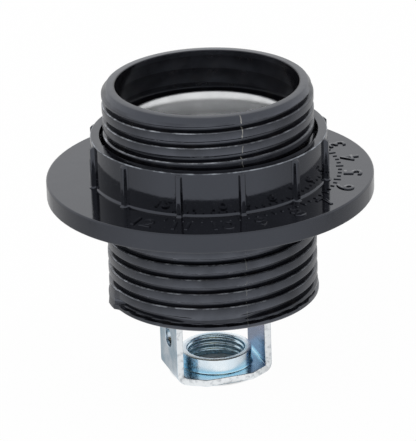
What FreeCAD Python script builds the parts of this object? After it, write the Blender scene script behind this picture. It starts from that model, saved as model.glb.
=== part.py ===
import FreeCAD, Part
import math
import os

# E27 lamp holder with an outside thread, a shade ring and a folded steel bracket.
# Millimetres. Z is the axis, mouth up. The origin is the centre of the bracket plate's underside.
# The bracket's legs stand at -X and +X, and the mould parting line of the housing is at -Y and +Y.

os.makedirs("parts", exist_ok=True)

Vector = FreeCAD.Vector
UP = Vector(0, 0, 1)

# Bracket: a steel strap folded to a U, with an octagonal plate, a plunged entry collar and clinched tabs
bracket_sheet = 1.2
bracket_width = 16.7
bracket_depth = 14.9
plate_front_edge = 8.2
leg_width = 9.2
bend_inside_radius = 0.6
leg_hole_radius = 1.7
leg_hole_height = 7.0
entry_radius = 5.0
entry_wall = 0.77
entry_height = 3.75
entry_draw = 0.6
tab_width = 5.0
tab_reach = 4.1

# Housing: one moulding, threaded outside, with an inside floor that carries the contacts.
# The mouth clears the sleeve's lip, and each radius further out stands on the one inside it.
foot_height = 14.5
housing_height = 37.65
mouth_clearance = 1.33
mouth_wall = 1.29
foot_wall = 1.75
floor_rise = 6.5
floor_thickness = 3.0
mouth_band_step = 0.15
mouth_band_height = 1.2
foot_rim_reach = 0.15
foot_rim_height = 1.0
stop_lug_width = 4.2
stop_lug_reach = 0.3
stop_lug_height = 3.6
closed_groove_start = 222.0
closed_groove_end = 268.0
closed_groove_height = 2.0
closed_groove_sink = 0.15

# Housing thread: right-handed, a flat crest and a vee groove
thread_pitch = 2.6
thread_depth = 1.0
thread_lower_flank = 0.7
thread_upper_flank = 0.75
thread_start_angle = 180.0
thread_groove_height = 4.02
thread_chords = 25
thread_spare_turns = 2
core_cover = 0.35

# Shade ring: flange, collar and twelve ribs, running on the housing's thread
ring_rise = 18.1
ring_clearance = 0.2
flange_radius = 27.6
flange_thickness = 3.35
collar_wall = 1.95
collar_height = 7.55
rib_count = 12
rib_reach = 0.7
rib_width = 1.1
rib_chamfer = 0.5
rib_first_angle = -93.0
rib_root = 0.5

# Screw shell: the drawn sleeve that takes an E27 lamp cap, with a flared lip and bent feet
sleeve_sheet = 0.4
sleeve_bore_radius = 12.9
sleeve_height = 21.2
sleeve_lip_reach = 0.83
sleeve_lip_height = 1.0
sleeve_tab_width = 4.8
sleeve_tab_margin = 1.6
clip_width = 3.0
clip_reach = 2.0
clip_inset = 0.1

# Contacts, terminals and fasteners
tongue_sheet = 0.5
tongue_width = 3.6
tongue_root_length = 3.6
tongue_rise = 4.2
tongue_run = 4.8
tongue_tip_length = 2.4
tongue_rivet_gap = 0.25
tongue_relief = 0.35
rivet_spacing = 2.0
rivet_shank_radius = 1.0
rivet_head_radius = 1.6
rivet_head_height = 0.7
hole_clearance = 0.05
free_clearance = 0.3
terminal_tab_sheet = 1.0
terminal_tab_width = 5.2
terminal_width = 6.0
terminal_length = 4.2
terminal_margin = 2.2
terminal_height = 5.0
wire_slot_clearance = 0.15
wire_slot_height = 2.2
wire_slot_drop = 1.2
screw_radius = 1.5
screw_length = 4.2
screw_entry = 0.8
screw_slot_width = 0.6
screw_slot_depth = 0.8

# Heights and radii that follow from the values above, the radii from the sleeve outwards
sleeve_outside = sleeve_bore_radius + sleeve_sheet
mouth_radius = sleeve_outside + sleeve_lip_reach + mouth_clearance
thread_root_radius = mouth_radius + mouth_wall
thread_crest_radius = thread_root_radius + thread_depth
foot_bore_radius = thread_root_radius - foot_wall
mouth_band_radius = thread_root_radius + mouth_band_step
closed_groove_radius = thread_crest_radius - closed_groove_sink
foot_rim_radius = thread_crest_radius + foot_rim_reach
stop_lug_radius = thread_crest_radius + stop_lug_reach
core_radius = thread_root_radius - core_cover
seat_radius = core_radius - core_cover
ring_bore_radius = thread_crest_radius + ring_clearance
collar_radius = ring_bore_radius + collar_wall
terminal_end = foot_bore_radius - terminal_margin
terminal_start = terminal_end - terminal_length
rivet_offset = terminal_start - rivet_spacing
mouth_top = foot_height + housing_height
foot_rim_top = foot_height + foot_rim_height
thread_top = mouth_top - mouth_band_height
floor_underside = foot_height + floor_rise
floor_top = floor_underside + floor_thickness
ring_underside = foot_height + ring_rise
flange_top = ring_underside + flange_thickness
collar_top = flange_top + collar_height
leg_outside = bracket_width / 2
leg_inside = leg_outside - bracket_sheet
tab_top = floor_top + bracket_sheet
sleeve_lip_top = floor_top + sleeve_height
terminal_bottom = floor_underside - terminal_height
terminal_tab_bottom = floor_underside - terminal_tab_sheet
wire_slot_top = floor_underside - wire_slot_drop
wire_slot_bottom = wire_slot_top - wire_slot_height
screw_offset = (terminal_start + terminal_end) / 2
clip_outside = sleeve_outside - clip_inset


def cylinder(radius, height, x, y, z, direction=UP):
    return Part.makeCylinder(radius, height, Vector(x, y, z), direction)


def box(x_low, x_high, y_low, y_high, z_low, z_high):
    return Part.makeBox(x_high - x_low, y_high - y_low, z_high - z_low, Vector(x_low, y_low, z_low))


def ordered(a, b):
    return min(a, b), max(a, b)


def turned(points):
    """A solid turned about Z from (radius, height) corners."""
    corners = [Vector(radius, 0, height) for radius, height in points]
    return Part.Face(Part.makePolygon(corners + corners[:1])).revolve(Vector(0, 0, 0), UP, 360)


def sector(outer, inner, start_angle, end_angle, z_low, z_high):
    """Part of a ring between two angles about Z."""
    wedge = Part.makeCylinder(outer, z_high - z_low, Vector(0, 0, z_low), UP, end_angle - start_angle)
    wedge.rotate(Vector(0, 0, 0), UP, start_angle)
    return wedge.cut(cylinder(inner, z_high - z_low, 0, 0, z_low))


def merged(shape):
    """A finished shape with its flush faces merged."""
    return shape.removeSplitter()


def facet(*corners):
    """A flat face through three or four corners."""
    return Part.Face(Part.makePolygon(list(corners) + [corners[0]]))


def thread_point(radius, lift, chord):
    """A point of the helix. Chord counts from the thread's start, some turns below the first groove."""
    turn = chord / thread_chords
    angle = math.radians(thread_start_angle) + 2 * math.pi * turn
    height = foot_height + thread_groove_height + lift + thread_pitch * (turn - thread_spare_turns)
    return Vector(radius * math.cos(angle), radius * math.sin(angle), height)


def thread_strip(low, high, chord):
    """The flat faces between two lines of the thread over one chord, each line a (radius, lift)."""
    a = thread_point(*low, chord)
    b = thread_point(*low, chord + 1)
    c = thread_point(*high, chord + 1)
    d = thread_point(*high, chord)
    if low[0] == high[0]:
        return [facet(a, b, c, d)]
    return [facet(a, b, c), facet(a, c, d)]


def thread_profile():
    """One pitch of the thread from groove to groove: lower flank, crest, upper flank."""
    return [(thread_root_radius, 0.0), (thread_crest_radius, thread_lower_flank),
            (thread_crest_radius, thread_pitch - thread_upper_flank), (thread_root_radius, thread_pitch)]


def threaded_tube():
    """The thread wound as one band a pitch high, each turn seated on the turn below."""
    inside = seat_radius
    profile = thread_profile()
    wound_height = thread_top - foot_height - thread_groove_height
    chords = thread_chords * (int(wound_height / thread_pitch) + 2 * thread_spare_turns)
    faces = []
    for chord in range(chords):
        for low, high in zip(profile, profile[1:]):
            faces += thread_strip(low, high, chord)
        faces += thread_strip((inside, 0), (inside, thread_pitch), chord)
    for index in range(thread_chords):
        faces += thread_strip((inside, 0), profile[0], index)
        faces += thread_strip((inside, thread_pitch), profile[-1], chords - thread_chords + index)
    for chord in (0, chords):
        outline = [thread_point(radius, lift, chord) for radius, lift in profile]
        outline += [thread_point(inside, thread_pitch, chord), thread_point(inside, 0, chord)]
        faces.append(facet(*outline))
    shell = Part.Shell(faces)
    shell.sewShape()
    solid = Part.Solid(shell)
    if solid.Volume < 0:
        solid.reverse()
    return solid


def housing():
    """The moulding: threaded barrel, mouth band, foot rim, stop lug and inside floor."""
    reach = foot_rim_radius + thread_depth
    barrel = threaded_tube().common(cylinder(reach, thread_top - foot_rim_top, 0, 0, foot_rim_top))
    body = turned([(0, foot_height), (foot_rim_radius, foot_height), (foot_rim_radius, foot_rim_top),
                   (core_radius, foot_rim_top), (core_radius, thread_top), (mouth_band_radius, thread_top),
                   (mouth_band_radius, mouth_top), (0, mouth_top)])
    closed = sector(closed_groove_radius, seat_radius, closed_groove_start, closed_groove_end,
                    foot_rim_top, foot_rim_top + closed_groove_height)
    lug = box(-stop_lug_radius, -seat_radius, -stop_lug_width / 2, stop_lug_width / 2,
              foot_height, foot_height + stop_lug_height)
    body = body.fuse([barrel, closed, lug])
    mouth = cylinder(mouth_radius, mouth_top - floor_top, 0, 0, floor_top)
    foot = cylinder(foot_bore_radius, floor_underside - foot_height, 0, 0, foot_height)
    return merged(body.cut([mouth, foot] + floor_holes()))


def floor_holes():
    """Rivet holes, slots for the bracket's tabs and the sleeve's clips, and the tongue's relief."""
    holes = []
    half_tab = tab_width / 2 + hole_clearance
    half_clip = clip_width / 2 + hole_clearance
    for side in (-1, 1):
        holes.append(cylinder(rivet_shank_radius + hole_clearance, floor_thickness,
                              0, side * rivet_offset, floor_underside))
        holes.append(box(*ordered(side * (leg_inside - bend_inside_radius),
                                  side * (leg_outside + hole_clearance)),
                         -half_tab, half_tab, floor_underside, floor_top))
        holes.append(box(*ordered(side * (clip_outside - sleeve_sheet - hole_clearance),
                                  side * (clip_outside + hole_clearance)),
                         -half_clip, half_clip, floor_underside, floor_top))
    half_tongue = tongue_width / 2 + free_clearance
    tip = rivet_offset - tongue_root_length / 2 - tongue_run - tongue_tip_length - free_clearance
    holes.append(box(-half_tongue, half_tongue, tip, rivet_offset,
                     floor_top - tongue_relief, floor_top))
    return holes


def shade_ring():
    """Flange and collar turned in one, with chamfered ribs round the collar."""
    ring = turned([(ring_bore_radius, ring_underside), (flange_radius, ring_underside),
                   (flange_radius, flange_top), (collar_radius, flange_top),
                   (collar_radius, collar_top), (ring_bore_radius, collar_top)])
    return merged(ring.fuse([rib(rib_first_angle + 360.0 * index / rib_count) for index in range(rib_count)]))


def rib(angle):
    """One upright rib, chamfered at its top, standing on the flange."""
    inside = collar_radius - rib_root
    outside = collar_radius + rib_reach
    half = rib_width / 2
    outline = facet(Vector(inside, -half, flange_top), Vector(outside, -half, flange_top),
                    Vector(outside, -half, collar_top - rib_chamfer),
                    Vector(outside - rib_chamfer, -half, collar_top), Vector(inside, -half, collar_top))
    solid = outline.extrude(Vector(0, rib_width, 0))
    solid.rotate(Vector(0, 0, 0), UP, angle)
    return solid


def screw_shell():
    """Drawn sleeve: flared lip, straight wall, a riveted foot and two clips clinched under the floor."""
    lip_start = sleeve_lip_top - sleeve_lip_height
    foot_top = floor_top + sleeve_sheet
    clip_bottom = floor_underside - sleeve_sheet
    sleeve = turned([(sleeve_bore_radius, floor_top), (sleeve_outside, floor_top),
                     (sleeve_outside, lip_start), (sleeve_outside + sleeve_lip_reach, sleeve_lip_top),
                     (sleeve_bore_radius, lip_start - sleeve_sheet)])
    half_tab = sleeve_tab_width / 2
    half_clip = clip_width / 2
    feet = [box(-half_tab, half_tab, -sleeve_bore_radius - sleeve_sheet / 2,
                -rivet_offset + sleeve_tab_margin, floor_top, foot_top)]
    for side in (-1, 1):
        outside = side * clip_outside
        feet.append(box(*ordered(outside, outside - side * sleeve_sheet), -half_clip, half_clip,
                        clip_bottom, foot_top))
        feet.append(box(*ordered(outside, outside - side * clip_reach), -half_clip, half_clip,
                        clip_bottom, floor_underside))
    hole = cylinder(rivet_shank_radius + hole_clearance, sleeve_sheet, 0, -rivet_offset, floor_top)
    return merged(sleeve.fuse(feet).cut(hole))


def bracket_section():
    """The folded strap seen along Y: a plate, two legs and two tabs, with a rounded bend at each fold."""
    inner = bend_inside_radius
    outer = inner + bracket_sheet
    flat = leg_outside - outer
    diagonal = math.sqrt(0.5)

    def point(side, x, z):
        return Vector(side * x, 0, z)

    edges = [Part.LineSegment(point(1, -flat, 0), point(1, flat, 0)),
             Part.LineSegment(point(1, -flat, bracket_sheet), point(1, flat, bracket_sheet))]
    for side in (1, -1):
        edges += [Part.Arc(point(side, flat, 0), point(side, flat + outer * diagonal, outer * (1 - diagonal)),
                           point(side, leg_outside, outer)),
                  Part.LineSegment(point(side, leg_outside, outer),
                                   point(side, leg_outside, tab_top - outer)),
                  Part.Arc(point(side, leg_outside, tab_top - outer),
                           point(side, flat + outer * diagonal, tab_top - outer * (1 - diagonal)),
                           point(side, flat, tab_top)),
                  Part.LineSegment(point(side, flat, tab_top), point(side, tab_reach, tab_top)),
                  Part.LineSegment(point(side, tab_reach, tab_top), point(side, tab_reach, floor_top)),
                  Part.LineSegment(point(side, tab_reach, floor_top), point(side, flat, floor_top)),
                  Part.Arc(point(side, flat, floor_top),
                           point(side, flat + inner * diagonal, tab_top - outer + inner * diagonal),
                           point(side, leg_inside, tab_top - outer)),
                  Part.LineSegment(point(side, leg_inside, tab_top - outer), point(side, leg_inside, outer)),
                  Part.Arc(point(side, leg_inside, outer),
                           point(side, flat + inner * diagonal, outer - inner * diagonal),
                           point(side, flat, bracket_sheet))]
    return Part.Face(Part.Wire(Part.__sortEdges__([edge.toShape() for edge in edges])))


def bracket_blank():
    """What the sheared outline leaves of the strap: the octagonal plate, the legs and the narrow tabs."""
    front = plate_front_edge / 2
    depth = bracket_depth / 2
    leg = leg_width / 2
    corners = [(leg_outside, -leg), (leg_outside, leg), (front, depth), (-front, depth),
               (-leg_outside, leg), (-leg_outside, -leg), (-front, -depth), (front, -depth)]
    plate = facet(*[Vector(x, y, 0) for x, y in corners]).extrude(Vector(0, 0, bracket_sheet))
    legs = box(-leg_outside, leg_outside, -leg, leg, bracket_sheet, floor_underside)
    tabs = box(-leg_outside, leg_outside, -tab_width / 2, tab_width / 2, floor_underside, tab_top)
    return plate.fuse([legs, tabs])


def entry_collar():
    """The plunged collar, turned: a flared draw below and a straight wall above."""
    outer = entry_radius + entry_wall
    return turned([(entry_radius + entry_draw, 0), (outer + entry_draw, 0),
                   (outer + entry_draw, bracket_sheet), (outer, bracket_sheet),
                   (outer, entry_height), (entry_radius, entry_height), (entry_radius, entry_draw)])


def bracket():
    """The folded strap with its collar and the hole in its left leg."""
    section = bracket_section()
    section.translate(Vector(0, -bracket_depth, 0))
    strap = section.extrude(Vector(0, 2 * bracket_depth, 0)).common(bracket_blank())
    pierced = cylinder(entry_radius + entry_draw, bracket_sheet, 0, 0, 0)
    leg_hole = cylinder(leg_hole_radius, bracket_sheet, -leg_outside, 0, leg_hole_height, Vector(1, 0, 0))
    return merged(strap.cut([pierced, leg_hole]).fuse(entry_collar()))


def centre_contact():
    """The springy tongue: riveted root, sloping arm and a level tip over the axis."""
    back = rivet_offset + tongue_root_length / 2
    front = rivet_offset - tongue_root_length / 2
    tip = front - tongue_run
    end = tip - tongue_tip_length
    low = floor_top
    high = floor_top + tongue_rise
    corners = [(back, low), (front, low), (tip, high), (end, high), (end, high + tongue_sheet),
               (tip + tongue_sheet, high + tongue_sheet), (front + tongue_sheet, low + tongue_sheet),
               (back, low + tongue_sheet)]
    outline = facet(*[Vector(-tongue_width / 2, y, z) for y, z in corners])
    hole = cylinder(rivet_shank_radius + free_clearance, tongue_sheet, 0, rivet_offset, floor_top)
    return outline.extrude(Vector(tongue_width, 0, 0)).cut(hole)


def rivet(y, grip_low, grip_high):
    """A rivet set over what it grips, with a flat head at each end."""
    tail = grip_low - rivet_head_height
    head = grip_high + rivet_head_height
    return turned([(0, tail), (rivet_head_radius, tail), (rivet_head_radius, grip_low),
                   (rivet_shank_radius, grip_low), (rivet_shank_radius, grip_high),
                   (rivet_head_radius, grip_high), (rivet_head_radius, head),
                   (0, head)]).translated(Vector(0, y, 0))


def centre_rivet():
    return rivet(rivet_offset, terminal_tab_bottom, floor_top + tongue_sheet + tongue_rivet_gap)


def neutral_rivet():
    return rivet(-rivet_offset, terminal_tab_bottom, floor_top + sleeve_sheet)


def terminal(turn):
    """A brass clamp: riveted tab and a block with a wire slot and a tapped screw hole."""
    half_tab = terminal_tab_width / 2
    half = terminal_width / 2
    half_slot = screw_radius + wire_slot_clearance
    tab = box(-half_tab, half_tab, rivet_offset - rivet_head_radius, terminal_end,
              terminal_tab_bottom, floor_underside)
    block = box(-half, half, terminal_start, terminal_end, terminal_bottom, floor_underside)
    rivet_hole = cylinder(rivet_shank_radius + hole_clearance, terminal_tab_sheet, 0, rivet_offset,
                          terminal_tab_bottom)
    wire_slot = box(-half_slot, half_slot, terminal_start, terminal_end, wire_slot_bottom, wire_slot_top)
    screw_hole = cylinder(screw_radius + hole_clearance, wire_slot_bottom - terminal_bottom,
                          0, screw_offset, terminal_bottom)
    clamp = merged(tab.fuse(block).cut([rivet_hole, wire_slot, screw_hole]))
    clamp.rotate(Vector(0, 0, 0), UP, turn)
    return clamp


def terminal_screw(turn):
    """A headless clamp screw, driven from below, with its tip a little way into the wire slot."""
    tip = wire_slot_bottom + screw_entry
    bottom = tip - screw_length
    half = screw_slot_width / 2
    screw = cylinder(screw_radius, screw_length, 0, screw_offset, bottom)
    screw = screw.cut(box(-screw_radius, screw_radius, screw_offset - half, screw_offset + half,
                          bottom, bottom + screw_slot_depth))
    screw.rotate(Vector(0, 0, 0), UP, turn)
    return screw


def main():
    nodes = {
        "shell": housing(),
        "shade_ring": shade_ring(),
        "screw_shell": screw_shell(),
        "bracket": bracket(),
        "centre_contact": centre_contact(),
        "centre_rivet": centre_rivet(),
        "neutral_rivet": neutral_rivet(),
        "live_terminal": terminal(0),
        "neutral_terminal": terminal(180),
        "live_terminal_screw": terminal_screw(0),
        "neutral_terminal_screw": terminal_screw(180),
    }
    for name, shape in nodes.items():
        print(name, "valid", shape.isValid(), "solids", len(shape.Solids), "faces", len(shape.Faces),
              "volume", round(shape.Volume, 2))
        shape.exportStep("parts/%s.step" % name)


main()
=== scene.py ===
# %% [markdown]
# # A screw lamp holder
# A black moulded housing with a coarse thread on its outside, a shade ring on that thread, a bright
# screw shell for the lamp, and a zinc-plated steel bracket with a tapped cable entry.
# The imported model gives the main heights, so the first cell loads it and keeps its box. The other sizes
# are named where they are first used.

# %% Load the frame
import math

import bpy
import bmesh
import numpy as np
from mathutils import Matrix, Vector


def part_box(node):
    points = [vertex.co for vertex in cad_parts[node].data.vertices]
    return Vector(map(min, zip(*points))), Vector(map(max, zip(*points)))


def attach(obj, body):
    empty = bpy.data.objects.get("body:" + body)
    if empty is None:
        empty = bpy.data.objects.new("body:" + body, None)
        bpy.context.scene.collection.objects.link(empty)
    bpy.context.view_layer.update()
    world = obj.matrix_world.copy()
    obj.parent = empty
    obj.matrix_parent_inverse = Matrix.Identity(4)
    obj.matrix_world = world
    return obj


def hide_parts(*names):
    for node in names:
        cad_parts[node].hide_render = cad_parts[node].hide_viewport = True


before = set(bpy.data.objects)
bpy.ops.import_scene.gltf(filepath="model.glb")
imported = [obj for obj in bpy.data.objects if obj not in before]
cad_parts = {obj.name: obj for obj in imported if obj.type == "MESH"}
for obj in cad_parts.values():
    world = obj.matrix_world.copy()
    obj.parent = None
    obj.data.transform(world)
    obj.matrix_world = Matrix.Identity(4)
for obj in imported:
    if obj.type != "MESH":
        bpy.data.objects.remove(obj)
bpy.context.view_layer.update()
MM = 0.001
TURN = 2 * math.pi
shell_low, shell_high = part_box("shell")
ring_low, ring_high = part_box("shade_ring")
sleeve_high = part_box("screw_shell")[1]
bracket_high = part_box("bracket")[1]

# %% [markdown]
# The photograph is taken with a long lens, from a little above and a little to the left. A long lens
# keeps the circles of the ring nearly the same ellipse. The camera looks at the middle of the flange,
# then turns a hair so that this point lands where it does in the picture.

# %% Camera
PICTURE_WIDTH = 416
PICTURE_HEIGHT = 441
FOCAL_PX = 4096.3
SENSOR_WIDTH = 36.0
CAMERA_DISTANCE = 689.5 * MM
CAMERA_TURN = math.radians(18.0)
CAMERA_HEIGHT_ANGLE = math.radians(21.7146)
CAMERA_ROLL = math.radians(1.955)
FLANGE_TOP = 35.95 * MM
FLANGE_PX = (209.9, 171.92)


def new_object(name, data):
    """An object in the scene that carries this data."""
    thing = bpy.data.objects.new(name, data)
    bpy.context.scene.collection.objects.link(thing)
    return thing


def place_camera():
    """Stands the camera off from the flange's centre and turns it to the photograph's framing."""
    level = math.cos(CAMERA_HEIGHT_ANGLE)
    back = Vector((-math.sin(CAMERA_TURN) * level, -math.cos(CAMERA_TURN) * level,
                   math.sin(CAMERA_HEIGHT_ANGLE)))
    straight = back.to_track_quat("Z", "Y")
    rolled = straight @ Matrix.Rotation(-CAMERA_ROLL, 3, "Z").to_quaternion()
    offset = Vector((FLANGE_PX[0] - PICTURE_WIDTH / 2, PICTURE_HEIGHT / 2 - FLANGE_PX[1], -FOCAL_PX))
    turned = rolled @ offset.normalized().rotation_difference(Vector((0, 0, -1)))
    data = bpy.data.cameras.new("camera")
    data.sensor_width = SENSOR_WIDTH
    data.lens = FOCAL_PX * SENSOR_WIDTH / PICTURE_HEIGHT
    camera = new_object("camera", data)
    place = Vector((0, 0, FLANGE_TOP)) + back * CAMERA_DISTANCE
    camera.matrix_world = Matrix.LocRotScale(place, turned, None)
    bpy.context.scene.camera = camera
    return camera


camera = place_camera()
print("camera at", tuple(round(value, 4) for value in camera.matrix_world.translation))

# %% [markdown]
# The world, the floor, the finishes and the threads are all built from nodes. A graph is a node tree
# with short ways to add to it, so that a line of the script reads like the sum that it stands for. The
# other way, one line for each node and each link, hides the sum.

# %% Helpers for node trees


class Graph:
    """A node tree. What is given to a node is a number or another node's output."""

    def __init__(self, tree):
        self.tree = tree

    def put(self, value, socket):
        """A number is set on the socket, and another node's output is linked to it."""
        if isinstance(value, bpy.types.NodeSocket):
            self.tree.links.new(value, socket)
        else:
            socket.default_value = value

    def add(self, kind, given=None, **settings):
        """A new node with its settings, and with what is given for its inputs by name or place."""
        node = self.tree.nodes.new(kind)
        for name, value in settings.items():
            setattr(node, name, value)
        for name, value in (given or {}).items():
            self.put(value, node.inputs[name])
        return node

    def math(self, operation, first, second=0.0):
        return self.add("ShaderNodeMath", {0: first, 1: second}, operation=operation).outputs[0]

    def product(self, first, *others):
        for other in others:
            first = self.math("MULTIPLY", first, other)
        return first

    def total(self, first, *others):
        for other in others:
            first = self.math("ADD", first, other)
        return first

    def ramp(self, value, low, high, out_low=0.0, out_high=1.0, easing="LINEAR"):
        """Carries the span from low to high over to another span, and stops at its ends."""
        given = {"Value": value, "From Min": low, "From Max": high, "To Min": out_low, "To Max": out_high}
        return self.add("ShaderNodeMapRange", given, interpolation_type=easing).outputs["Result"]

    def vector(self, operation, first, second=(0, 0, 0)):
        node = self.add("ShaderNodeVectorMath", {0: first, 1: second}, operation=operation)
        return node.outputs["Value" if operation in ("DOT_PRODUCT", "LENGTH") else "Vector"]

    def parts(self, vector):
        """The X, Y and Z of a vector."""
        return self.add("ShaderNodeSeparateXYZ", {0: vector}).outputs

    def place_in_pitch(self, height, turn, groove, pitch):
        """From 0 to 1 across one pitch of a thread that climbs one pitch in a turn, from its groove up."""
        above = self.math("DIVIDE", self.math("SUBTRACT", height, groove), pitch)
        return self.math("FRACT", self.math("SUBTRACT", above, turn))


# %% [markdown]
# Black plastic and bright metal show what stands round them more than their own colour. The object was
# photographed in a white tent, so the floor and the world are white to the eye. In reflections the
# floor in front and the sweep behind the object are white too, and the rest of the tent is dimmer,
# because a black ridge needs both to look round. Nothing there is brighter than plain white. Three
# soft lamps light the surfaces, and they are hidden from reflections, where they would show as spots.

# %% White room
AMBIENT = 0.55
LAMPS = [
    ("lamp_left", (-0.35, -0.25, 0.45), 0.30, 1.1),
    ("lamp_right", (0.40, -0.10, 0.35), 0.22, 0.6),
    ("lamp_back", (-0.05, 0.45, 0.40), 0.30, 0.8),
]
AWAY = Vector((math.sin(CAMERA_TURN), math.cos(CAMERA_TURN), 0))
SWEEP_BEHIND = 1.0
ROOM_IN_FRONT = 0.95
ROOM_TURNS = (-0.2, 0.6)
ROOM_ABOVE = 0.85
ROOM_RISES = (0.35, 0.75)
FLOOR_HALF = 3.0
FLOOR_PAINT = (0.86, 0.86, 0.86, 1)
FLOOR_WHITE = 0.97
FLOOR_IN_FRONT = 1.0
FLOOR_AT_SIDES = 0.58
FLOOR_TURNS = (-0.75, -0.1)
SHADE_RADIUS = 7.6 * MM
SHADE_EDGE = 8.2 * MM


def shown_rays(graph, camera_share=1.0):
    """1 for rays that a surface mirrors or lets through, and the camera's share for its own rays."""
    path = graph.add("ShaderNodeLightPath").outputs
    shown = graph.product(path["Is Camera Ray"], camera_share)
    for name in ("Is Glossy Ray", "Is Transmission Ray"):
        shown = graph.math("MAXIMUM", shown, path[name])
    return shown


def white_to_the_eye(graph, mirrored):
    """Strength 1 for the camera's own rays and another one for mirrored rays."""
    return graph.ramp(graph.add("ShaderNodeLightPath").outputs["Is Camera Ray"], 0.0, 1.0, mirrored, 1.0)


def white_world():
    """White to the eye. Reflections see a bright sweep behind the object and a dimmer room elsewhere."""
    world = bpy.data.worlds.new("white_room")
    world.use_nodes = True
    graph = Graph(world.node_tree)
    direction = graph.add("ShaderNodeTexCoord").outputs["Generated"]
    away = graph.vector("DOT_PRODUCT", direction, AWAY)
    level = graph.ramp(away, *ROOM_TURNS, ROOM_IN_FRONT, SWEEP_BEHIND)
    mirrored = graph.ramp(graph.parts(direction)["Z"], *ROOM_RISES, level, ROOM_ABOVE)
    background = graph.tree.nodes["Background"].inputs
    graph.put((1, 1, 1, 1), background["Color"])
    graph.put(graph.ramp(shown_rays(graph), 0.0, 1.0, AMBIENT, white_to_the_eye(graph, mirrored)),
              background["Strength"])
    bpy.context.scene.world = world


def soft_lamp(name, place, size, power):
    data = bpy.data.lights.new(name, "AREA")
    data.shape = "DISK"
    data.size = size
    data.energy = power
    lamp = new_object(name, data)
    lamp.visible_glossy = False
    aim = Vector((0, 0, FLANGE_TOP)) - Vector(place)
    lamp.matrix_world = Matrix.LocRotScale(Vector(place), aim.to_track_quat("-Z", "Y"), None)


def white_floor():
    """A large white floor. It shows nearly pure white, but under the bracket it keeps its real shade."""
    mesh = bpy.data.meshes.new("floor")
    corners = [(x * FLOOR_HALF, y * FLOOR_HALF, 0) for x, y in ((-1, -1), (1, -1), (1, 1), (-1, 1))]
    mesh.from_pydata(corners, [], [(0, 1, 2, 3)])
    material = bpy.data.materials.new("white_floor")
    material.use_nodes = True
    graph = Graph(material.node_tree)
    graph.tree.nodes.clear()
    place = graph.add("ShaderNodeTexCoord").outputs["Object"]
    outside = graph.ramp(graph.vector("LENGTH", place), SHADE_RADIUS, SHADE_EDGE)
    heading = graph.vector("DOT_PRODUCT", graph.vector("NORMALIZE", place), AWAY)
    mirrored = graph.ramp(heading, *FLOOR_TURNS, FLOOR_IN_FRONT, FLOOR_AT_SIDES)
    matt = graph.add("ShaderNodeBsdfDiffuse", {"Color": FLOOR_PAINT})
    glow = graph.add("ShaderNodeEmission", {"Strength": white_to_the_eye(graph, mirrored)})
    share = graph.product(shown_rays(graph, FLOOR_WHITE), outside)
    mix = graph.add("ShaderNodeMixShader", {0: share, 1: matt.outputs[0], 2: glow.outputs[0]})
    graph.add("ShaderNodeOutputMaterial", {0: mix.outputs[0]})
    mesh.materials.append(material)
    new_object("floor", mesh)


bpy.context.scene.view_settings.view_transform = "Standard"
white_world()
for lamp in LAMPS:
    soft_lamp(*lamp)
white_floor()
print("a white world, a white floor and", len(LAMPS), "lamps")

# %% [markdown]
# A material here is a Principled shader whose colour, roughness and fine relief come from noise on
# Object coordinates. Those stay with the piece, so nothing slides when the camera or a joint moves.
# One small helper makes the noise, and each finish below says what it does with it.

# %% Helpers for materials


def colour(red, green, blue):
    return (red, green, blue, 1.0)


class Finish(Graph):
    """A Principled material and the few nodes that most finishes share."""

    def __init__(self, name, metallic=0.0, ior=1.5):
        self.material = bpy.data.materials.new(name)
        self.material.use_nodes = True
        super().__init__(self.material.node_tree)
        self.shader = self.tree.nodes["Principled BSDF"].inputs
        self.put(metallic, self.shader["Metallic"])
        self.put(ior, self.shader["IOR"])
        self.place = self.add("ShaderNodeTexCoord").outputs["Object"]

    def stretched(self, scale):
        """Object coordinates stretched by three factors, for streaks and drawn marks."""
        return self.vector("MULTIPLY", self.place, scale)

    def from_axis(self):
        return self.vector("LENGTH", self.stretched((1, 1, 0)))

    def noise(self, size, detail=3.0, place=None, rough=0.55):
        """Noise whose blotches are about size metres across."""
        given = {"Vector": place or self.place, "Scale": 1.0 / size, "Detail": detail, "Roughness": rough}
        return self.add("ShaderNodeTexNoise", given).outputs["Fac"]

    def line(self, value, middle, outer, inner):
        """1 where the value is within inner of the middle, and 0 beyond outer."""
        return self.ramp(self.math("ABSOLUTE", self.math("SUBTRACT", value, middle)), outer, inner)

    def blend(self, share, first, second):
        """A colour between two colours."""
        return self.add("ShaderNodeMix", {0: share, 6: first, 7: second}, data_type="RGBA").outputs[2]

    def relief(self, height, strength, distance):
        bump = self.add("ShaderNodeBump", {"Height": height, "Strength": strength, "Distance": distance})
        self.put(bump.outputs["Normal"], self.shader["Normal"])

    def finish(self, paint, roughness):
        self.put(paint, self.shader["Base Color"])
        self.put(roughness, self.shader["Roughness"])
        return self.material
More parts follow.
